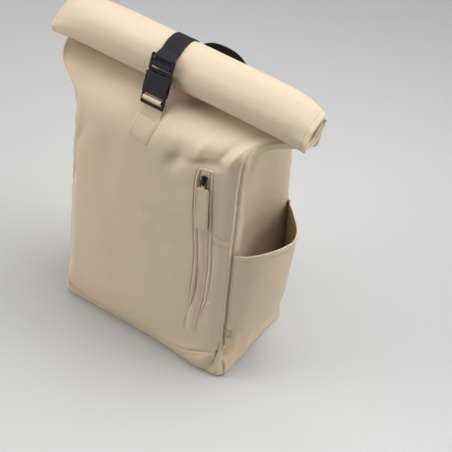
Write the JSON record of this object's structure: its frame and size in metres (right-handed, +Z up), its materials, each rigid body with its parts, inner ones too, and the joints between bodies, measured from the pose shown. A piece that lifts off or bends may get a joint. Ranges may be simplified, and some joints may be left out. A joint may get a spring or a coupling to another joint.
{
  "type": "rolltop backpack",
  "caption": "Soft upright backpack with a rolled and buckled top, a zipped slot down the front, an open bottle pocket on one side and padded shoulder straps.",
  "frame": {"origin": "middle of the flat base, on the ground", "axes": "+Z up; the front faces -Y and the back with the shoulder straps faces +Y; +X is towards the side with the bottle pocket"},
  "size_m": [0.396, 0.2185, 0.4759],
  "materials": {
    "canvas": "smooth coated beige canvas, matt with a faint sheen",
    "webbing": "black woven webbing",
    "plastic": "black moulded plastic, slightly glossy",
    "zip_metal": "dark gunmetal, polished",
    "zip_tape": "beige zip tape, matt"
  },
  "bodies": {
    "bag": {"front_panel": "canvas", "side_panel_right": "canvas", "back_panel": "canvas", "side_panel_left": "canvas", "base_panel": "canvas", "roll_top": "canvas", "side_pocket": "canvas", "buckle_tab": "canvas", "shoulder_pad_right": "canvas", "shoulder_pad_left": "canvas", "closure_strap": "webbing", "pad_loop_right": "webbing", "pad_loop_left": "webbing", "lower_strap_right": "webbing", "lower_strap_left": "webbing", "grab_handle": "webbing", "buckle_socket": "plastic", "buckle_plug": "plastic", "adjuster_right": "plastic", "adjuster_left": "plastic", "zip_slider": "zip_metal", "zip_tape": "zip_tape", "zip_teeth": "zip_tape", "seam_label": "zip_tape"},
    "zip_pull": {"zip_pull_link": "zip_metal", "zip_pull_tab": "canvas"}
  },
  "joints": [
    {"name": "zip_pull_swing", "type": "hinge", "parent": "bag", "child": "zip_pull", "pos_m": [0.08835, -0.0831, 0.34823], "axis": [-0.9971, -0.0528, -0.0541], "range_deg": [0, 150]}
  ]
}
